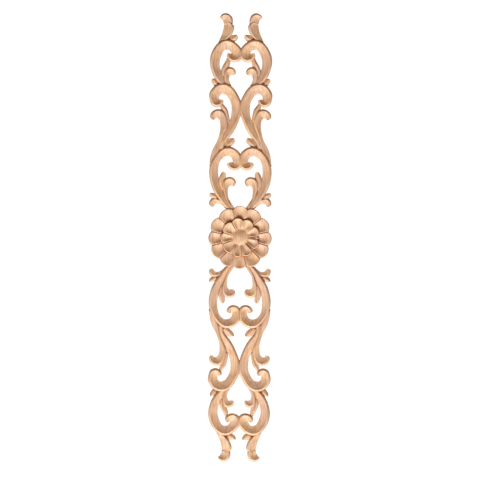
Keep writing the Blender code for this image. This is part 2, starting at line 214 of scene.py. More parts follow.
# Wood: noise scales per metre across, through and along the grain, shades, and each shade's share.
FIGURE_SCALE = (100.0, 100.0, 36.0)
STREAK_SCALE = (240.0, 240.0, 14.0)
BLOTCH_SCALE = (150.0, 150.0, 70.0)
GRAIN_SCALE = (480.0, 480.0, 36.0)
PORE_SCALE = (1100.0, 1100.0, 110.0)
RING_SCALE = 100.0
PLANER_SCALE = 75.0
NOISE_ROUGHNESS = 0.55
PITH_SHIFT = (-0.012, -0.085, 0.0)
PITH_STRETCH = (1.0, 1.0, 0.12)
STRAW = (0.845, 0.605, 0.39, 1.0)
PINK = (0.80, 0.578, 0.44, 1.0)
STREAK = (0.84, 0.72, 0.62, 1.0)
RING = (0.86, 0.77, 0.68, 1.0)
BLOTCH = (0.88, 0.78, 0.70, 1.0)
GRAIN = (0.82, 0.75, 0.69, 1.0)
PORE = (0.46, 0.24, 0.12, 1.0)
# Painted shade: this colour and the next darken the hollows and the creases.
RECESS_PAINTED_SHADE = (0.72, 0.48, 0.34, 1.0)
CREASE_PAINTED_SHADE = (0.56, 0.36, 0.24, 1.0)
SAWN = (0.88, 0.84, 0.80, 1.0)
# Painted highlight along the arrises, partly the paler sanded wood.
ARRIS_SANDING_AND_HIGHLIGHT = (0.98, 0.82, 0.64, 1.0)
STREAK_SHARE = 0.5
RING_SHARE = 0.5
BLOTCH_SHARE = 0.5
GRAIN_SHARE = 1.0
PORE_SHARE = 0.45
# The last three shares are of the painted shade in hollows and creases and of the painted highlight on
# arrises.
RECESS_SHADE_SHARE = 0.9
CREASE_SHADE_SHARE = 0.5
ARRIS_HIGHLIGHT_SHARE = 0.75
ROUGHNESS = (0.52, 0.66)
SPECULAR = 0.5
SAWN_SHADES = (0.5, 1.0)
BUMP_STRENGTH = 0.35
BUMP_DEPTH = 0.00025

# Where each kind of mark, painted shade or painted highlight starts to show and where it shows in full, from
# 0 to 1.
FIGURE_SPAN = (0.36, 0.64)
STREAK_SPAN = (0.52, 0.75)
BLOTCH_SPAN = (0.4, 0.68)
GRAIN_SPAN = (0.35, 0.7)
PORE_SPAN = (0.6, 0.72)
RING_SPAN = (0.55, 1.0)
# The last three spans are of the painted shade and the painted highlight.
RECESS_SHADE_SPAN = (0.05, 0.5)
CREASE_SHADE_SPAN = (0.03, 0.22)
ARRIS_HIGHLIGHT_SPAN = (0.04, 0.3)

# Each stroke of the carving is a band between two edges. A station pairs a point of the outer edge,
# which carries the raised ridge, with one of the inner edge, where the cove is lowest. Points are
# (across, up) in millimetres for the upper right quarter, from the tucked base to the free tip.


def turn(centre, radius, pivot, start, stop, count):
    """Stations of a volute: the outer edge runs on an arc and the inner edge turns tightly at the pivot."""
    stations = []
    for angle in np.radians(np.linspace(start, stop, count)):
        aim = np.array((math.cos(angle), math.sin(angle)))
        stations.append((tuple(centre + radius * aim), tuple(pivot + PIVOT_RADIUS * aim)))
    return stations


FINIAL_STEM = [
    ((22.0, 257.0), (31.0, 257.0)),
    ((19.0, 264.0), (28.5, 264.0)),
    ((13.6, 270.5), (25.9, 269.5)),
    ((10.6, 277.0), (23.5, 277.0)),
    ((9.8, 281.5), (22.6, 282.0)),
    ((11.4, 284.5), (21.6, 286.0)),
    ((14.9, 286.6), (17.8, 287.3)),
]
FINIAL_CURL = [
    ((12.3, 281.5), (18.5, 281.5)),
    ((11.8, 285.8), (22.3, 284.6)),
    ((11.5, 290.1), (23.1, 287.8)),
    ((14.1, 296.3), (23.9, 289.6)),
    ((20.0, 299.4), (24.6, 290.9)),
    ((24.9, 298.0), (25.5, 292.0)),
    ((27.3, 295.2), (26.6, 292.7)),
    ((28.0, 293.5), (27.5, 293.0)),
]
FINIAL_EAR = [
    ((14.0, 257.5), (20.0, 263.0)),
    ((10.0, 261.8), (15.5, 268.5)),
    ((6.5, 264.3), (11.0, 270.2)),
    ((4.6, 267.3), (7.5, 270.4)),
    ((4.2, 269.4), (5.2, 270.3)),
]
UPPER_SCROLL = [
    ((22.0, 200.0), (13.0, 203.0)),
    ((32.3, 210.0), (20.5, 214.0)),
    ((39.8, 226.0), (28.3, 226.5)),
    ((41.0, 238.1), (28.7, 237.0)),
    ((35.4, 253.3), (25.0, 247.3)),
    ((28.5, 261.0), (22.0, 251.0)),
    ((20.0, 264.3), (17.9, 251.8)),
    ((10.0, 261.7), (14.7, 251.0)),
    ((3.0, 256.0), (13.0, 248.6)),
    *turn((8.5, 245.3), 10.5, (12.7, 246.0), 160.0, 345.0, 7),
    ((17.0, 246.6), (15.0, 246.4)),
]
UPPER_SPEAR = [
    ((24.0, 212.0), (18.0, 214.0)),
    ((26.0, 222.0), (19.0, 221.0)),
    ((23.4, 229.9), (16.0, 228.9)),
    ((20.0, 235.8), (14.7, 234.3)),
    ((17.5, 242.0), (16.0, 241.0)),
]
UPPER_CURL = [
    ((20.0, 199.0), (11.0, 199.0)),
    ((21.0, 208.0), (15.5, 207.5)),
    ((22.3, 216.0), (16.4, 212.8)),
    ((21.5, 222.5), (15.6, 215.7)),
    ((18.0, 226.5), (14.5, 217.5)),
    ((13.0, 227.3), (12.6, 218.1)),
    ((9.1, 225.2), (11.1, 218.0)),
    ((7.2, 221.6), (10.0, 217.7)),
    ((7.5, 218.5), (8.9, 217.4)),
]
UPPER_EAR = [
    ((31.0, 198.0), (26.0, 205.0)),
    ((34.6, 202.1), (30.0, 208.5)),
    ((37.3, 205.6), (33.0, 211.5)),
    ((39.0, 209.5), (36.5, 212.0)),
    ((38.9, 211.6), (38.2, 212.0)),
]
MIDDLE_SCROLL = [
    ((19.0, 112.0), (34.0, 116.0)),
    ((21.7, 123.5), (31.0, 126.0)),
    ((14.5, 135.0), (24.5, 138.0)),
    ((7.5, 145.8), (19.0, 149.0)),
    ((2.5, 157.5), (13.7, 158.0)),
    ((-1.0, 169.0), (11.7, 168.0)),
    ((-0.7, 179.0), (12.0, 177.5)),
    ((4.0, 190.0), (15.5, 186.0)),
    ((11.0, 200.3), (19.7, 191.1)),
    ((19.0, 205.2), (23.8, 192.5)),
    ((25.5, 205.8), (26.0, 192.4)),
    ((33.0, 203.2), (27.9, 191.2)),
    ((39.0, 197.2), (29.3, 189.1)),
    ((41.8, 190.1), (29.6, 186.4)),
    *turn((32.1, 183.5), 8.7, (28.8, 184.8), -5.0, -170.0, 6),
    ((24.4, 184.0), (26.4, 184.3)),
]
MIDDLE_SPEAR = [
    ((15.5, 150.0), (21.0, 150.0)),
    ((15.3, 157.5), (20.5, 159.0)),
    ((16.5, 165.0), (23.0, 167.0)),
    ((18.7, 172.0), (26.0, 172.0)),
    ((23.0, 177.1), (26.8, 175.7)),
    ((25.5, 181.5), (26.6, 180.5)),
]
MIDDLE_CURL = [
    ((35.0, 94.0), (41.0, 95.0)),
    ((31.0, 109.0), (39.6, 108.0)),
    ((27.0, 119.0), (36.0, 119.0)),
    ((25.0, 128.0), (31.1, 128.0)),
    ((22.6, 138.0), (27.8, 138.5)),
    ((18.2, 148.0), (26.5, 148.0)),
    ((18.0, 157.5), (27.4, 156.0)),
    ((20.6, 165.5), (29.8, 159.3)),
    ((25.0, 170.0), (32.0, 160.1)),
    ((31.5, 171.0), (33.2, 160.2)),
    ((37.4, 168.1), (34.1, 159.9)),
    ((40.2, 163.3), (34.5, 159.3)),
    ((40.0, 159.6), (35.1, 158.3)),
    ((37.6, 157.5), (36.0, 157.2)),
]
MIDDLE_EAR = [
    ((17.0, 115.0), (26.0, 120.0)),
    ((14.0, 121.8), (20.5, 126.5)),
    ((10.5, 124.7), (16.0, 131.4)),
    ((8.1, 128.2), (11.6, 132.6)),
    ((7.2, 131.2), (8.3, 132.4)),
]
LOWER_SCROLL = [
    ((12.0, 33.0), (5.0, 35.0)),
    ((20.3, 40.6), (11.6, 44.9)),
    ((28.6, 51.8), (19.3, 57.1)),
    ((35.8, 63.2), (24.3, 67.0)),
    ((39.8, 74.9), (28.5, 76.5)),
    ((41.2, 88.0), (30.3, 88.0)),
    ((39.3, 98.0), (29.4, 96.9)),
    ((35.0, 107.5), (26.9, 103.5)),
    ((28.0, 116.0), (22.6, 107.9)),
    ((21.0, 120.3), (19.2, 109.3)),
    ((14.0, 120.8), (15.6, 109.2)),
    ((6.5, 118.0), (12.4, 107.7)),
    ((0.0, 110.5), (10.3, 104.2)),
    *turn((8.0, 99.6), 9.5, (10.7, 100.9), 170.0, 350.0, 7),
    ((16.0, 99.9), (14.2, 100.7)),
]
LOWER_SPEAR = [
    ((24.0, 60.0), (19.0, 62.0)),
    ((27.8, 70.0), (21.0, 70.0)),
    ((28.5, 77.0), (20.3, 77.5)),
    ((27.0, 82.2), (19.8, 82.0)),
    ((24.8, 86.2), (20.3, 85.8)),
    ((22.9, 88.0), (21.5, 87.7)),
]
LOWER_CURL = [
    ((11.0, 35.0), (5.0, 36.5)),
    ((15.5, 43.0), (10.0, 41.5)),
    ((19.0, 52.0), (14.9, 48.9)),
    ((21.5, 60.0), (16.9, 57.8)),
    ((23.6, 68.0), (17.0, 65.0)),
    ((22.6, 75.0), (15.0, 68.8)),
    ((18.5, 79.5), (12.5, 69.3)),
    ((12.5, 80.5), (11.0, 69.2)),
    ((8.2, 78.2), (10.0, 69.0)),
    ((6.2, 74.0), (9.4, 68.9)),
    ((7.0, 70.6), (8.7, 68.9)),
]
LOWER_BUD = [
    ((30.0, 46.0), (27.0, 54.0)),
    ((36.5, 52.0), (33.3, 58.6)),
    ((40.0, 54.7), (36.5, 59.0)),
    ((40.9, 57.5), (39.0, 59.3)),
    ((40.9, 59.0), (40.3, 59.4)),
]
LOWER_HOOK = [
    ((16.0, 44.0), (19.5, 39.0)),
    ((24.0, 50.5), (24.3, 43.5)),
    ((30.5, 52.4), (29.3, 46.0)),
    ((35.3, 53.0), (32.9, 45.4)),
    ((39.2, 50.6), (34.6, 44.1)),
    ((41.0, 46.5), (35.2, 43.0)),
    ((40.7, 43.3), (35.8, 41.9)),
    ((38.4, 41.5), (36.9, 41.1)),
]

# Name, stations, ridge height, form and length of the rise from the tucked base, for one quarter.
STROKES = (
    ("finial_stem", FINIAL_STEM, STEM_HEIGHT, LEAF_FORM, SHORT_RISE),
    ("finial_curl", FINIAL_CURL, CURL_HEIGHT, LEAF_FORM, SHORT_RISE),
    ("finial_ear", FINIAL_EAR, EAR_HEIGHT, EAR_FORM, SHORT_RISE),
    ("upper_scroll", UPPER_SCROLL, SCROLL_HEIGHT, SCROLL_FORM, SHORT_RISE),
    ("upper_spear", UPPER_SPEAR, SPEAR_HEIGHT, SPEAR_FORM, SHORT_RISE),
    ("upper_curl", UPPER_CURL, CURL_HEIGHT, LEAF_FORM, SHORT_RISE),
    ("upper_ear", UPPER_EAR, EAR_HEIGHT, EAR_FORM, SHORT_RISE),
    ("middle_scroll", MIDDLE_SCROLL, SCROLL_HEIGHT, SCROLL_FORM, LONG_RISE),
    ("middle_spear", MIDDLE_SPEAR, SPEAR_HEIGHT, SPEAR_FORM, SHORT_RISE),
    ("middle_curl", MIDDLE_CURL, CURL_HEIGHT, LEAF_FORM, LONG_RISE),
    ("middle_ear", MIDDLE_EAR, EAR_HEIGHT, EAR_FORM, SHORT_RISE),
    ("lower_scroll", LOWER_SCROLL, SCROLL_HEIGHT, SCROLL_FORM, MEDIUM_RISE),
    ("lower_spear", LOWER_SPEAR, SPEAR_HEIGHT, SPEAR_FORM, SHORT_RISE),
    ("lower_curl", LOWER_CURL, CURL_HEIGHT, LEAF_FORM, SHORT_RISE),
    ("lower_bud", LOWER_BUD, EAR_HEIGHT, EAR_FORM, SHORT_RISE),
    ("lower_hook", LOWER_HOOK, SPEAR_HEIGHT, SPEAR_FORM, SHORT_RISE),
)


def natural_spline(knots, values, places):
    """Reads the natural cubic spline through the values at the knots."""
    gaps = np.diff(knots)
    count = len(knots)
    matrix = np.eye(count)
    right = np.zeros(values.shape)
    for k in range(1, count - 1):
        matrix[k, k - 1:k + 2] = (gaps[k - 1], 2.0 * (gaps[k - 1] + gaps[k]), gaps[k])
        slopes = (values[k + 1] - values[k]) / gaps[k] - (values[k] - values[k - 1]) / gaps[k - 1]
        right[k] = 6.0 * slopes
    bend = np.linalg.solve(matrix, right)
    piece = np.clip(np.searchsorted(knots, places) - 1, 0, count - 2)
    gap = gaps[piece][:, None]
    ahead = (knots[piece + 1] - places)[:, None]
    past = (places - knots[piece])[:, None]
    curved = bend[piece] * ahead ** 3 / (6.0 * gap) + bend[piece + 1] * past ** 3 / (6.0 * gap)
    left = (values[piece] / gap - bend[piece] * gap / 6.0) * ahead
    return curved + left + (values[piece + 1] / gap - bend[piece + 1] * gap / 6.0) * past


def edges(stations):
    """Outer and inner edge points of a stroke, closer together where it turns sharply."""
    points = np.array([[*outer, *inner] for outer, inner in stations])
    moves = np.diff(points, axis=0)
    outer_moves = np.hypot(moves[:, 0], moves[:, 1])
    inner_moves = np.hypot(moves[:, 2], moves[:, 3])
    lengths = OUTER_WEIGHT * outer_moves + (1.0 - OUTER_WEIGHT) * inner_moves
    knots = np.concatenate(([0.0], np.cumsum(lengths)))
    fine = np.linspace(0.0, knots[-1], SAMPLES)
    curve = natural_spline(knots, points, fine)
    heading = np.unwrap(np.arctan2(np.gradient(curve[:, 1]), np.gradient(curve[:, 0])))
    run = np.hypot(np.gradient(curve[:, 0]), np.gradient(curve[:, 1]))
    cost = np.cumsum(run / RING_STEP + np.abs(np.gradient(heading)) / RING_TURN)
    count = max(LEAST_RINGS, int(round(cost[-1])) + 1)
    places = np.interp(np.linspace(cost[0], cost[-1], count), cost, fine)
    curve = natural_spline(knots, points, places)
    return curve[:, :2], curve[:, 2:]


def smooth_step(value):
    """Eases a fraction from 0 to 1."""
    value = min(1.0, max(0.0, value))
    return value * value * (3.0 - 2.0 * value)


def ridge_height(run, total, height, rise_length):
    """Ridge height along a stroke, tucked at its base and a little lower at its tip, and its cove's share."""
    base = min(TUCKED_HEIGHT, height - LEAST_RISE)
    rise = smooth_step(run / min(rise_length, LONGEST_RISE * total))
    fall = smooth_step(1.0 - (total - run) / min(TIP_LENGTH, LONGEST_TIP * total))
    dip = BASE_DIP * (1.0 - smooth_step(run / DIP_LENGTH))
    ridge = base + (height - base) * rise - TIP_DROP * fall - dip
    return ridge, TUCKED_COVE + (1.0 - TUCKED_COVE) * rise


def section(width, height, form):
    """Carved cross-section of a stroke as (share of width, height), from the back of the outer edge."""
    cove, shoulder, widest = form
    bevel = min(shoulder, widest * width)
    drop = BEVEL_DROP * min(1.0, bevel / BEVEL_WIDTH)
    depth = cove * min(1.0, width / FULL_COVE_WIDTH)
    lip = min(LIP_WIDTH, WIDEST_LIP * width)
    points = [(0.0, -SINK_BEHIND)]
    points += [(bevel * across / width, height - drop * down) for across, down in BEVEL_CURVE]
    points.append((bevel / width, height))
    floor = width - bevel - lip
    for place in COVE_PLACES:
        fall = depth * ((1.0 + COVE_BEND) * place - COVE_BEND * place * place)
        points.append(((bevel + floor * place) / width, height - max(fall, ARRIS_DROP)))
    points.append((1.0 - lip / width, height - depth))
    points.append((1.0 - LIP_BEND[0] * lip / width, height - depth - LIP_BEND[1] * LIP_DROP))
    points.append((1.0, height - depth - LIP_DROP))
    points.append((1.0, -SINK_BEHIND))
    return points


def wave(place, seed):
    """Smooth unevenness from -1 to 1 along a stroke."""
    return noise.noise(Vector((place / WAVE_LENGTH, seed * WAVE_SPREAD[0], WAVE_SPREAD[1])))


def mesh_object(name, points, faces, collection):
    """An object of the closed form with its faces turned outwards."""
    mesh = bpy.data.meshes.new(name)
    mesh.from_pydata([tuple(point) for point in points], [], faces)
    form = bmesh.new()
    form.from_mesh(mesh)
    bmesh.ops.triangulate(form, faces=form.faces[:])
    bmesh.ops.recalc_face_normals(form, faces=form.faces[:])
    form.to_mesh(mesh)
    form.free()
    obj = bpy.data.objects.new(name, mesh)
    collection.objects.link(obj)
    return obj


def stroke(name, stations, height, form, rise_length, mirror, seed, collection):
    """One stroke of the carving, mirrored into its quarter of the panel."""
    outer, inner = edges(stations)
    steps = np.hypot(*np.diff(outer, axis=0).T)
    runs = np.concatenate(([0.0], np.cumsum(steps)))
    growth = UPPER_GROWTH if mirror[1] > 0 else LOWER_GROWTH
    points = []
    for start, end, run in zip(outer, inner, runs):
        across = (end - start) / np.hypot(*(end - start))
        start = start - across * (growth + EDGE_WAVE * wave(run, seed))
        end = end + across * (growth + EDGE_WAVE * wave(run, seed + 0.5))
        width = float(np.hypot(*(end - start)))
        ridge, hollow = ridge_height(run, runs[-1], height, rise_length)
        ridge += HEIGHT_WAVE * (wave(run, seed + 1.0) - 0.5)
        depth = form[0] * hollow + HEIGHT_WAVE * wave(run, seed + 1.5)
        for share, level in section(width, ridge, (depth, *form[1:])):
            x, z = start + (end - start) * share
            points.append((x * mirror[0] * MM, -level * MM, z * mirror[1] * MM))
    count = len(points) // len(runs)
    faces = []
    for row in range(len(runs) - 1):
        for k in range(count):
            after = (k + 1) % count
            low = row * count
            faces.append((low + k, low + after, low + count + after, low + count + k))
    faces.append(tuple(reversed(range(count))))
    faces.append(tuple(range(len(points) - count, len(points))))
    return mesh_object(name, points, faces, collection)


def disc(name, rays, collection):
    """Closed body from rays of (x, height, z) that share their first point at the middle."""
    x, level, z = rays[0][0]
    points = [(x * MM, -level * MM, z * MM)]
    count = len(rays[0])
    for ray in rays:
        points += [(x * MM, -level * MM, z * MM) for x, level, z in ray[1:]]
        points.append((ray[-1][0] * MM, SINK_BEHIND * MM, ray[-1][2] * MM))
    faces = []
    for k in range(len(rays)):
        low = 1 + k * count
        high = 1 + (k + 1) % len(rays) * count
        faces.append((0, low, high))
        for step in range(count - 1):
            faces.append((low + step, low + step + 1, high + step + 1, high + step))
    faces.append(tuple((k + 1) * count for k in range(len(rays))))
    return mesh_object(name, points, faces, collection)


def column_distance(column, half):
    """Distance of a column from its petal's side, where the petal is this wide from side to middle."""
    rim = min(SIDE_STEPS[-1], WIDEST_SIDE * half)
    if column < len(SIDE_STEPS):
        return rim * SIDE_STEPS[column] / SIDE_STEPS[-1]
    return rim + (half - rim) * HOLLOW_STEPS[column - len(SIDE_STEPS)]


def column_level(column, share, heights, crest, groove):
    """Height of a petal on a column: hollow along its middle, flat along its rim, deep in its groove."""
    rim, root = heights
    middle = root + (rim - root) * share ** PETAL_POWER
    side = root + ROOT_CREST * (1.0 - share) + (rim - NOTCH_DIP - root) * share
    side += crest * math.sin(math.pi * share ** CREST_POWER)
    if column < len(SIDE_STEPS):
        return side - GROOVE_DEPTH * groove * SIDE_DROPS[column] * smooth_step(GROOVE_START * share)
    left = 1.0 - HOLLOW_STEPS[column - len(SIDE_STEPS)]
    return middle + (side - middle) * left * left


def petal_columns(notches, grooves):
    """Columns of a ring of petals as (petal, side angle, way, column, span, groove), clockwise."""
    last = len(SIDE_STEPS) + len(HOLLOW_STEPS) - 1
    columns = []
    for k, start in enumerate(notches):
        after = (k + 1) % len(notches)
        span = math.radians((notches[after] - start) % 360.0)
        begin = math.radians(start)
        for column in range(last + 1):
            columns.append((k, begin, 1.0, column, span, grooves[k]))
        for column in range(last - 1, 0, -1):
            columns.append((k, begin + span, -1.0, column, span, grooves[after]))
    return columns


def petal_ring(name, notches, grooves, radii, heights, crest, seed, collection):
    """A disc of cupped petals: radii are (lobe, notch, root) and heights are (rim, root)."""
    lobe, notch, root = radii
    rays = []
    for k, begin, way, column, span, groove in petal_columns(notches, grooves):
        fullness = min(1.0, math.degrees(span) / FULL_PETAL_SPAN)
        half = lobe * span / 2.0
        place = 1.0 - column_distance(column, half) / half
        reach = notch + (lobe - notch) * (1.0 - place * place) * fullness - PETAL_BEVEL_WIDTH
        uneven = 1.0 + PETAL_UNEVENNESS * noise.noise(Vector((k * PETAL_SPREAD[0], seed, PETAL_SPREAD[1])))
        ray = [(0.0, heights[1], 0.0)]
        for share in np.linspace(0.0, 1.0, PETAL_RINGS):
            radius = root + (reach - root) * share
            angle = begin + way * column_distance(column, radius * span / 2.0) / radius
            level = column_level(column, share, heights, crest * uneven, groove)
            ray.append((radius * math.sin(angle), level, radius * math.cos(angle)))
        for across, down in reversed(BEVEL_CURVE):
            radius = reach + PETAL_BEVEL_WIDTH * (1.0 - across)
            ray.append((radius * math.sin(angle), level - PETAL_BEVEL_DROP * down, radius * math.cos(angle)))
        rays.append(ray)
    return disc(name, rays, collection)


def outer_petals(collection):
    """The outer ring of petals, which the rest of the carving joins."""
    radii = (OUTER_RADIUS, OUTER_NOTCH_RADIUS, OUTER_ROOT_RADIUS)
    heights = (OUTER_RIM_HEIGHT, OUTER_ROOT_HEIGHT)
    return petal_ring("carving", OUTER_NOTCHES, OUTER_GROOVES, radii, heights, OUTER_CREST, 2.0, collection)


def inner_petals(collection):
    """The inner ring of uneven petals, which stands above the outer ring."""
    radii = (INNER_RADIUS, INNER_NOTCH_RADIUS, DOME_RADIUS)
    heights = (INNER_RIM_HEIGHT, INNER_ROOT_HEIGHT)
    petal_ring("inner_petals", INNER_NOTCHES, INNER_GROOVES, radii, heights, INNER_CREST, 5.0, collection)


def dome(collection):
    """The dome in the middle of the rosette, lightly fluted towards the petals."""
    rays = []
    for angle in np.linspace(0.0, 2.0 * math.pi, DOME_SIDES, endpoint=False):
        ray = []
        for share in np.linspace(0.0, 1.0, DOME_RINGS):
            flute = FLUTE_DEPTH * share * share * (1.0 - math.cos(FLUTE_COUNT * angle))
            flute *= FLUTE_SHARE - FLUTE_LEAN * math.cos(angle)
            level = DOME_TOP_HEIGHT - DOME_DROP * share * share - flute
            x = DOME_PLACE[0] + DOME_RADIUS * share * math.sin(angle)
            ray.append((x, level, DOME_PLACE[1] + DOME_RADIUS * share * math.cos(angle)))
        rays.append(ray)
    disc("rosette_dome", rays, collection)


def back_cutter(collection):
    """A box that cuts the back flat at y = 0."""
    bpy.ops.mesh.primitive_cube_add(size=1.0, location=(0.0, BACK_BOX[1] / 2.0, 0.0))
    box = bpy.context.object
    box.name = "behind_the_back"
    box.dimensions = BACK_BOX
    for owner in box.users_collection:
        owner.objects.unlink(box)
    collection.objects.link(box)


def combine(base, operation, collection):
    """Joins every object of the collection to the base, or cuts them from it."""
    modifier = base.modifiers.new(operation.lower(), "BOOLEAN")
    modifier.operation = operation
    modifier.solver = "MANIFOLD"
    modifier.operand_type = "COLLECTION"
    modifier.collection = collection


def applied(obj):
    """Fixes the object's modifiers into its mesh."""
    bpy.context.view_layer.update()
    graph = bpy.context.evaluated_depsgraph_get()
    mesh = bpy.data.meshes.new_from_object(obj.evaluated_get(graph))
    obj.modifiers.clear()
    old = obj.data
    obj.data = mesh
    bpy.data.meshes.remove(old)


def new_collection(name):
    """A collection of the scene."""
    collection = bpy.data.collections.new(name)
    bpy.context.scene.collection.children.link(collection)
    return collection


def emptied(collection):
    """Removes a collection of helpers and what it holds."""
    for helper in list(collection.objects):
        bpy.data.objects.remove(helper, do_unlink=True)
    bpy.data.collections.remove(collection)


def kept_inside(obj, bounds):
    """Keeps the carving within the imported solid's box."""
    low, high = np.array(bounds[0]), np.array(bounds[1])
    mesh = obj.data
    points = np.empty(len(mesh.vertices) * 3)
    mesh.vertices.foreach_get("co", points)
    points = np.clip(points.reshape(-1, 3), low, high)
    mesh.vertices.foreach_set("co", points.ravel())
    mesh.update()


def carving():
    """The whole applique as one finely carved piece."""
    pieces = new_collection("carving")
    strokes = new_collection("strokes")
    cutters = new_collection("cutters")
    piece = outer_petals(pieces)
    inner_petals(strokes)
    dome(strokes)
    seed = 0
    for up in (1, -1):
        for across in (1, -1):
            for name, stations, height, form, rise_length in STROKES:
                seed += 1
                stroke(name, stations, height, form, rise_length, (across, up), seed, strokes)
    back_cutter(cutters)
    combine(piece, "UNION", strokes)
    combine(piece, "DIFFERENCE", cutters)
    applied(piece)
    emptied(strokes)
    emptied(cutters)
    kept_inside(piece, cad_bounds)
    piece.data.shade_smooth()
    piece.data.set_sharp_from_angle(angle=math.radians(SHARP_ANGLE))
    return piece


def spread_directions(count):
    """Directions spread evenly over a sphere."""
    places = np.arange(count) + 0.5
    heights = 1.0 - 2.0 * places / count
    rims = np.sqrt(1.0 - heights ** 2)
    turns = places * GOLDEN_ANGLE
    return np.column_stack((rims * np.cos(turns), rims * np.sin(turns), heights))


def recesses(mesh, points, normals):
    """How far each vertex is closed in by the carving round it, from 0 in the open to 1."""
    mesh.calc_loop_triangles()
    corners = [triangle.vertices[:] for triangle in mesh.loop_triangles]
    tree = BVHTree.FromPolygons([tuple(point) for point in points], corners)
    aims = spread_directions(RECESS_RAYS)
    weights = np.clip(normals @ aims.T, 0.0, 1.0)
    vectors = [Vector(aim) for aim in aims]
    values = np.zeros(len(points))
    for k, (point, normal) in enumerate(zip(points, normals)):
        start = Vector(point + normal * RAY_LIFT)
        closed = 0.0
        for aim in np.flatnonzero(weights[k] > LEAST_SLANT):
            distance = tree.ray_cast(start, vectors[aim], RECESS_REACH)[3]
            if distance is not None:
                closed += weights[k, aim] * (1.0 - distance / RECESS_REACH)
        values[k] = closed / weights[k].sum()
    return values


def arrises(points, normals, ends):
    """How sharply each vertex stands out from its neighbours, negative in a crease."""
    steps = points[ends[:, 1]] - points[ends[:, 0]]
    steps /= np.maximum(np.linalg.norm(steps, axis=1, keepdims=True), TINY)
    values = np.zeros(len(points))
    np.add.at(values, ends[:, 0], -np.einsum("ij,ij->i", normals[ends[:, 0]], steps))
    np.add.at(values, ends[:, 1], np.einsum("ij,ij->i", normals[ends[:, 1]], steps))
    return values / np.maximum(np.bincount(ends.ravel(), minlength=len(points)), 1)


def blurred(values, ends, rounds):
    """Evens values out over the mesh."""
    counts = 1.0 + np.bincount(ends.ravel(), minlength=len(values))
    for _ in range(rounds):
        total = values.copy()
        np.add.at(total, ends[:, 0], values[ends[:, 1]])
        np.add.at(total, ends[:, 1], values[ends[:, 0]])
        values = total / counts
    return values


def widened(values, ends):
    """Carries each peak over to the vertices next to it."""
    wide = values.copy()
    np.maximum.at(wide, ends[:, 0], values[ends[:, 1]])
    np.maximum.at(wide, ends[:, 1], values[ends[:, 0]])
    return wide


def note_painted_light_and_back(piece):
    """Notes on the mesh where the wood is closed in, its arrises and creases, which carry the painted shade
    and highlight, and its back.
    """
    mesh = piece.data
    points = np.empty(len(mesh.vertices) * 3)
    mesh.vertices.foreach_get("co", points)
    points = points.reshape(-1, 3)
    normals = np.empty(len(points) * 3)
    mesh.vertex_normals.foreach_get("vector", normals)
    normals = normals.reshape(-1, 3)
    ends = np.empty(len(mesh.edges) * 2, dtype=np.int32)
    mesh.edges.foreach_get("vertices", ends)
    ends = ends.reshape(-1, 2)
    recess_shade = blurred(recesses(mesh, points, normals), ends, 2)
    bends = arrises(points, normals, ends)
    # Concave bends on the front, kept for the painted shade in the creases.
    shown = np.where(normals[:, 1] < LEAST_FACING, np.maximum(-bends, 0.0), 0.0)
    crease = blurred(widened(shown, ends), ends, 1)
    back = np.array([float(face.normal.y > BACK_FACING) for face in mesh.polygons])
    for name, domain, values in (("recess_shade", "POINT", recess_shade), ("arris_highlight", "POINT", blurred(bends, ends, 1)),
                                 ("crease", "POINT", crease), ("back", "FACE", back)):
        layer = mesh.attributes.new(name, "FLOAT", domain)
        layer.data.foreach_set("value", values.astype(np.float32))


def add_node(tree, kind, inputs=None, **settings):
    """A node of the material; its inputs are values or outputs of other nodes."""
    made = tree.nodes.new("ShaderNode" + kind)
    for key, value in settings.items():
        setattr(made, key, value)
    for key, value in (inputs or {}).items():
        if isinstance(value, bpy.types.NodeSocket):
            tree.links.new(value, made.inputs[key])
        else:
            made.inputs[key].default_value = value
    return made


def noise_layer(tree, coords, scale, shift, detail):
    """Noise stretched along the grain: scale per metre across, through and along."""
    mapping = add_node(tree, "Mapping", {"Vector": coords, "Location": shift, "Scale": scale})
    inputs = {"Vector": mapping.outputs[0], "Scale": 1.0, "Detail": detail, "Roughness": NOISE_ROUGHNESS}
    return add_node(tree, "TexNoise", inputs).outputs[0]


def eased(tree, value, low, high, bottom=0.0, top=1.0):
    """Maps a value smoothly from between low and high to between bottom and top."""
    inputs = {"Value": value, 1: low, 2: high, 3: bottom, 4: top}
    return add_node(tree, "MapRange", inputs, interpolation_type="SMOOTHSTEP").outputs[0]


def mixed(tree, blend, factor, first, second):
    """Mixes two colours."""
    inputs = {0: factor, 6: first, 7: second}
    return add_node(tree, "Mix", inputs, data_type="RGBA", blend_type=blend).outputs[2]


def calculated(tree, operation, first, second):
    """One step of arithmetic."""
    return add_node(tree, "Math", {0: first, 1: second}, operation=operation).outputs[0]


def noted(tree, name):
    """What the mesh notes for each point of it."""
    return add_node(tree, "Attribute", attribute_name=name).outputs["Fac"]


def growth_rings(tree, coords):
    """Faint rings of the trunk: its pith lies behind the panel, so they bend with the carving."""
    place = add_node(tree, "Mapping", {"Vector": coords, "Location": PITH_SHIFT, "Scale": PITH_STRETCH})
    inputs = {"Vector": place.outputs[0], "Scale": RING_SCALE, "Distortion": 3.0, "Detail": 2.0}
    inputs["Detail Scale"] = 0.25
    wave = add_node(tree, "TexWave", inputs, wave_type="RINGS", rings_direction="Z", wave_profile="SIN")
    return eased(tree, wave.outputs["Fac"], *RING_SPAN)


def planer_marks(tree, coords):
    """Shallow waves that the planer left across the back."""
    inputs = {"Vector": coords, "Scale": PLANER_SCALE, "Distortion": 0.6, "Detail": 1.0}
    inputs["Detail Scale"] = 0.2
    wave = add_node(tree, "TexWave", inputs, wave_type="BANDS", bands_direction="Z", wave_profile="SIN")
    return wave.outputs["Fac"]


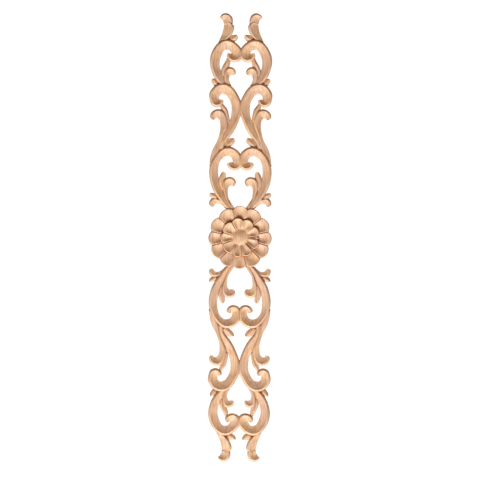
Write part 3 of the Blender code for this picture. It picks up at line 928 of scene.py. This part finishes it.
def wood_colour(tree, coords, grain, pores, blotch):
    """Beech from pinkish to straw, with rings, grain and pores, before the painted shade and highlight."""
    figure = eased(tree, noise_layer(tree, coords, FIGURE_SCALE, (0.3, 1.7, 0.9), 2.0), *FIGURE_SPAN)
    colour = mixed(tree, "MIX", figure, STRAW, PINK)
    streak = eased(tree, noise_layer(tree, coords, STREAK_SCALE, (4.1, 0.2, 2.2), 3.0), *STREAK_SPAN)
    colour = mixed(tree, "MULTIPLY", calculated(tree, "MULTIPLY", streak, STREAK_SHARE), colour, STREAK)
    rings = calculated(tree, "MULTIPLY", growth_rings(tree, coords), RING_SHARE)
    colour = mixed(tree, "MULTIPLY", rings, colour, RING)
    colour = mixed(tree, "MULTIPLY", calculated(tree, "MULTIPLY", blotch, BLOTCH_SHARE), colour, BLOTCH)
    colour = mixed(tree, "MULTIPLY", calculated(tree, "MULTIPLY", grain, GRAIN_SHARE), colour, GRAIN)
    return mixed(tree, "MIX", calculated(tree, "MULTIPLY", pores, PORE_SHARE), colour, PORE)


def painted_shade_and_highlight(tree, colour):
    """Painted shade, darker and redder where the carving closes the wood in and in its creases; painted
    highlight, partly paler sanded wood, on its arrises.
    """
    recess_shade = eased(tree, noted(tree, "recess_shade"), *RECESS_SHADE_SPAN)
    colour = mixed(tree, "MULTIPLY", calculated(tree, "MULTIPLY", recess_shade, RECESS_SHADE_SHARE), colour, RECESS_PAINTED_SHADE)
    crease = eased(tree, noted(tree, "crease"), *CREASE_SHADE_SPAN)
    colour = mixed(tree, "MULTIPLY", calculated(tree, "MULTIPLY", crease, CREASE_SHADE_SHARE), colour, CREASE_PAINTED_SHADE)
    arris_highlight = eased(tree, noted(tree, "arris_highlight"), *ARRIS_HIGHLIGHT_SPAN)
    return mixed(tree, "MIX", calculated(tree, "MULTIPLY", arris_highlight, ARRIS_HIGHLIGHT_SHARE), colour, ARRIS_SANDING_AND_HIGHLIGHT)


def wood():
    """Bare sanded beech, darker in the hollows with painted shade, and crisp and pale along its arrises with
    a painted highlight that is partly the paler sanded wood.
    """
    material = bpy.data.materials.new("wood")
    material.use_nodes = True
    tree = material.node_tree
    shader = tree.nodes["Principled BSDF"]
    coords = add_node(tree, "TexCoord").outputs["Object"]
    grain = eased(tree, noise_layer(tree, coords, GRAIN_SCALE, (0.0, 3.1, 0.0), 4.0), *GRAIN_SPAN)
    pores = eased(tree, noise_layer(tree, coords, PORE_SCALE, (5.0, 0.4, 1.3), 2.0), *PORE_SPAN)
    blotch = eased(tree, noise_layer(tree, coords, BLOTCH_SCALE, (2.2, 1.1, 7.5), 3.0), *BLOTCH_SPAN)
    plain = wood_colour(tree, coords, grain, pores, blotch)
    back = noted(tree, "back")
    planed = planer_marks(tree, coords)
    sawn = mixed(tree, "MULTIPLY", eased(tree, planed, 0.0, 1.0, *SAWN_SHADES), plain, SAWN)
    # The front gets the painted shade and highlight; the back is plain planed wood.
    colour = mixed(tree, "MIX", back, painted_shade_and_highlight(tree, plain), sawn)
    tree.links.new(colour, shader.inputs["Base Color"])
    tree.links.new(eased(tree, grain, 0.0, 1.0, *ROUGHNESS), shader.inputs["Roughness"])
    shader.inputs["Specular IOR Level"].default_value = SPECULAR
    waves = calculated(tree, "MULTIPLY", planed, back)
    height = calculated(tree, "ADD", calculated(tree, "ADD", grain, pores), waves)
    inputs = {"Height": height, "Strength": BUMP_STRENGTH, "Distance": BUMP_DEPTH}
    bump = add_node(tree, "Bump", inputs, invert=True)
    tree.links.new(bump.outputs[0], shader.inputs["Normal"])
    return material


def look_at(obj, target):
    """Turns a light so that it faces the target."""
    obj.rotation_euler = (Vector(target) - obj.location).to_track_quat("-Z", "Y").to_euler()


def area_light(name, place, target, size, power, colour):
    """A soft, round studio light that faces its target."""
    data = bpy.data.lights.new(name, "AREA")
    data.shape = "DISK"
    data.size = size
    data.energy = power
    data.color = colour
    light = bpy.data.objects.new(name, data)
    light.location = place
    light.visible_camera = False
    bpy.context.scene.collection.objects.link(light)
    look_at(light, target)


def room():
    """White surroundings that light the wood dimly and warmly."""
    world = bpy.data.worlds.new("studio")
    world.use_nodes = True
    nodes = world.node_tree.nodes
    links = world.node_tree.links
    seen = nodes["Background"]
    seen.inputs["Color"].default_value = (1.0, 1.0, 1.0, 1.0)
    seen.inputs["Strength"].default_value = SURROUNDINGS_STRENGTH
    fill = nodes.new("ShaderNodeBackground")
    fill.inputs["Color"].default_value = (*FILL_COLOUR, 1.0)
    fill.inputs["Strength"].default_value = FILL_STRENGTH
    path = nodes.new("ShaderNodeLightPath")
    mix = nodes.new("ShaderNodeMixShader")
    links.new(path.outputs["Is Camera Ray"], mix.inputs["Fac"])
    links.new(fill.outputs["Background"], mix.inputs[1])
    links.new(seen.outputs["Background"], mix.inputs[2])
    links.new(mix.outputs["Shader"], nodes["World Output"].inputs["Surface"])
    bpy.context.scene.world = world


def studio():
    """Soft light from below the front, a little to the left, a second light behind, over a pale floor."""
    bpy.ops.mesh.primitive_plane_add(size=FLOOR_SIZE, location=FLOOR_PLACE)
    floor = bpy.context.object
    floor.name = "floor"
    floor.visible_shadow = False
    floor.visible_diffuse = False
    floor.visible_glossy = False
    material = bpy.data.materials.new("floor")
    material.use_nodes = True
    material.node_tree.nodes["Principled BSDF"].inputs["Base Color"].default_value = FLOOR_COLOUR
    floor.data.materials.append(material)
    area_light("key", KEY_PLACE, LIGHT_TARGET, KEY_SIZE, KEY_POWER, KEY_COLOUR)
    area_light("behind", BEHIND_PLACE, LIGHT_TARGET, KEY_SIZE, BEHIND_POWER, KEY_COLOUR)
    room()


def camera():
    """The photograph's long, level view from the front."""
    data = bpy.data.cameras.new("camera")
    data.sensor_width = SENSOR_WIDTH
    data.lens = SENSOR_WIDTH * CAMERA_DISTANCE / FRAME_WIDTH
    view = bpy.data.objects.new("camera", data)
    view.location = (0.0, -CAMERA_DISTANCE, AIM_HEIGHT)
    view.rotation_euler = (math.radians(90.0), CAMERA_ROLL, 0.0)
    bpy.context.scene.collection.objects.link(view)
    bpy.context.scene.camera = view


camera()
studio()
piece = carving()
note_painted_light_and_back(piece)
piece.data.materials.clear()
piece.data.materials.append(wood())
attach(piece, "root")
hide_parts(NODE)
bpy.context.scene.view_settings.view_transform = "Standard"
